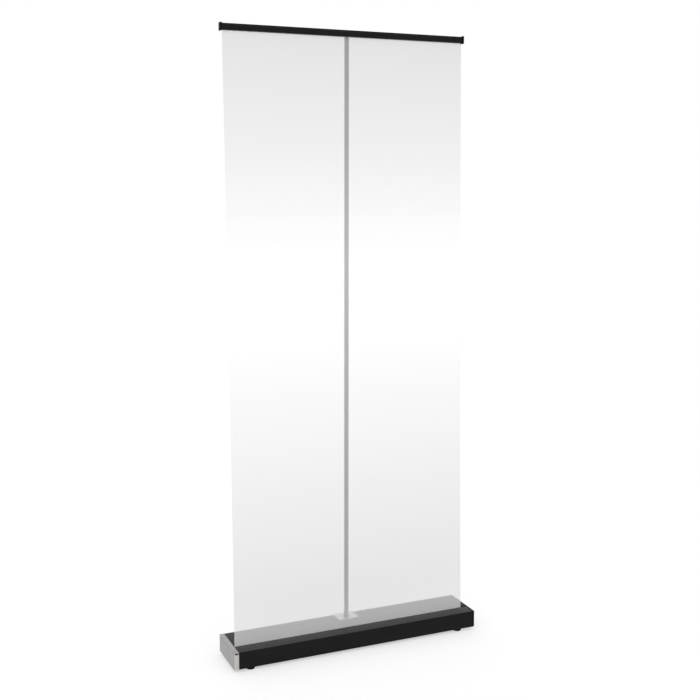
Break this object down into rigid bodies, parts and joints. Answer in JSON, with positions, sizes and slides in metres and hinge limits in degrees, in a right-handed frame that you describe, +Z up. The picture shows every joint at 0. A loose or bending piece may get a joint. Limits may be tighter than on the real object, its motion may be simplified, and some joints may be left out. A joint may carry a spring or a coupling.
{
  "type": "roll-up banner stand",
  "caption": "Spring-wound cassette on levelling feet with a translucent film pulled up to a snap rail that a sectional pole holds from behind.",
  "frame": {"origin": "on the floor, under the middle of the cassette, at the centre of the bounding box's base", "axes": "+Z up; +X along the cassette towards its plain black end; -Y is the display side and the pole stands behind the film"},
  "size_m": [0.895, 0.166, 2.0829],
  "materials": {
    "black_anodised": "black anodised, satin",
    "black_tube": "black powder coat",
    "satin_silver": "satin silver plating on moulded plastic",
    "plate_silver": "satin",
    "zinc_steel": "zinc plated",
    "mill_aluminium": "mill",
    "black_plastic": "moulded, matt",
    "black_rubber": "matt",
    "clear_film": "translucent film with a soft white print gradient",
    "elastic_cord": "woven sleeve over rubber"
  },
  "bodies": {
    "base": {"cassette_body": "black_anodised", "end_frame_left": "satin_silver", "door_pin": "zinc_steel", "end_cap_right": "black_plastic", "screw_left_front": "zinc_steel", "screw_left_back": "zinc_steel", "screw_right_front": "zinc_steel", "screw_right_back": "zinc_steel", "slot_lip_front": "black_rubber", "slot_lip_back": "black_rubber", "pole_socket": "plate_silver", "pole_bush": "black_plastic", "socket_screw_left": "zinc_steel", "socket_screw_right": "zinc_steel", "spring_shaft": "zinc_steel", "spring_anchor_fixed": "black_plastic", "torsion_spring": "zinc_steel", "film_leader": "clear_film", "banner_film": "clear_film", "foot_insert_front_left": "zinc_steel", "foot_insert_front_right": "zinc_steel", "foot_insert_back_left": "zinc_steel", "foot_insert_back_right": "zinc_steel"},
    "roller": {"roller_tube": "mill_aluminium", "film_roll": "clear_film", "roller_plug_left": "black_plastic", "roller_plug_right": "black_plastic", "spring_anchor_roller": "black_plastic"},
    "door": {"end_door": "satin_silver"},
    "rail": {"rail_back": "black_anodised", "rail_grip_strip": "black_rubber", "rail_cap_left": "black_plastic", "rail_cap_right": "black_plastic"},
    "jaw": {"rail_jaw": "black_anodised"},
    "pole_low": {"pole_foot_plug": "black_plastic", "pole_lower": "black_tube", "pole_ferrule_lower": "black_tube", "elastic_cord_lower": "elastic_cord"},
    "pole_mid": {"pole_middle": "black_tube", "pole_ferrule_upper": "black_tube", "elastic_cord_upper": "elastic_cord"},
    "pole_top": {"pole_upper": "black_tube", "pole_hook": "black_plastic"},
    "foot_front_left": {"foot_pad_front_left": "black_rubber", "foot_stud_front_left": "zinc_steel"},
    "foot_front_right": {"foot_pad_front_right": "black_rubber", "foot_stud_front_right": "zinc_steel"},
    "foot_back_left": {"foot_pad_back_left": "black_rubber", "foot_stud_back_left": "zinc_steel"},
    "foot_back_right": {"foot_pad_back_right": "black_rubber", "foot_stud_back_right": "zinc_steel"}
  },
  "joints": [
    {"name": "rail_slide", "type": "slide", "parent": "base", "child": "rail", "axis": [0, 0.0262, 0.9997], "range_m": [-1.988, 0], "deforming": ["banner_film"]},
    {"name": "roller_spin", "type": "hinge", "parent": "base", "child": "roller", "pos_m": [0, -0.01325, 0.0383], "axis": [1, 0, 0], "range_deg": [0, 5930]},
    {"name": "jaw_open", "type": "hinge", "parent": "rail", "child": "jaw", "pos_m": [0, 0.0172, 2.0768], "axis": [-1, 0, 0], "range_deg": [0, 24]},
    {"name": "door_swing", "type": "hinge", "parent": "base", "child": "door", "pos_m": [-0.445, 0.06, 0.04], "axis": [0, 0, -1], "range_deg": [0, 98]},
    {"name": "pole_lift", "type": "slide", "parent": "base", "child": "pole_low", "axis": [0, 0, 1], "range_m": [0, 0.05]},
    {"name": "pole_pull_middle", "type": "slide", "parent": "pole_low", "child": "pole_mid", "axis": [0, 0, 1], "range_m": [0, 0.066], "deforming": ["elastic_cord_lower"]},
    {"name": "pole_pull_upper", "type": "slide", "parent": "pole_mid", "child": "pole_top", "axis": [0, 0, 1], "range_m": [0, 0.066], "deforming": ["elastic_cord_upper"]},
    {"name": "foot_screw_front_left", "type": "slide", "parent": "base", "child": "foot_front_left", "axis": [0, 0, -1], "range_m": [0, 0.008]},
    {"name": "foot_screw_front_right", "type": "slide", "parent": "base", "child": "foot_front_right", "axis": [0, 0, -1], "range_m": [0, 0.008]},
    {"name": "foot_screw_back_left", "type": "slide", "parent": "base", "child": "foot_back_left", "axis": [0, 0, -1], "range_m": [0, 0.008]},
    {"name": "foot_screw_back_right", "type": "slide", "parent": "base", "child": "foot_back_right", "axis": [0, 0, -1], "range_m": [0, 0.008]}
  ],
  "couplings": [
    {"joint": "roller_spin", "follows": "rail_slide", "rad_per_m": -51.95}
  ]
}
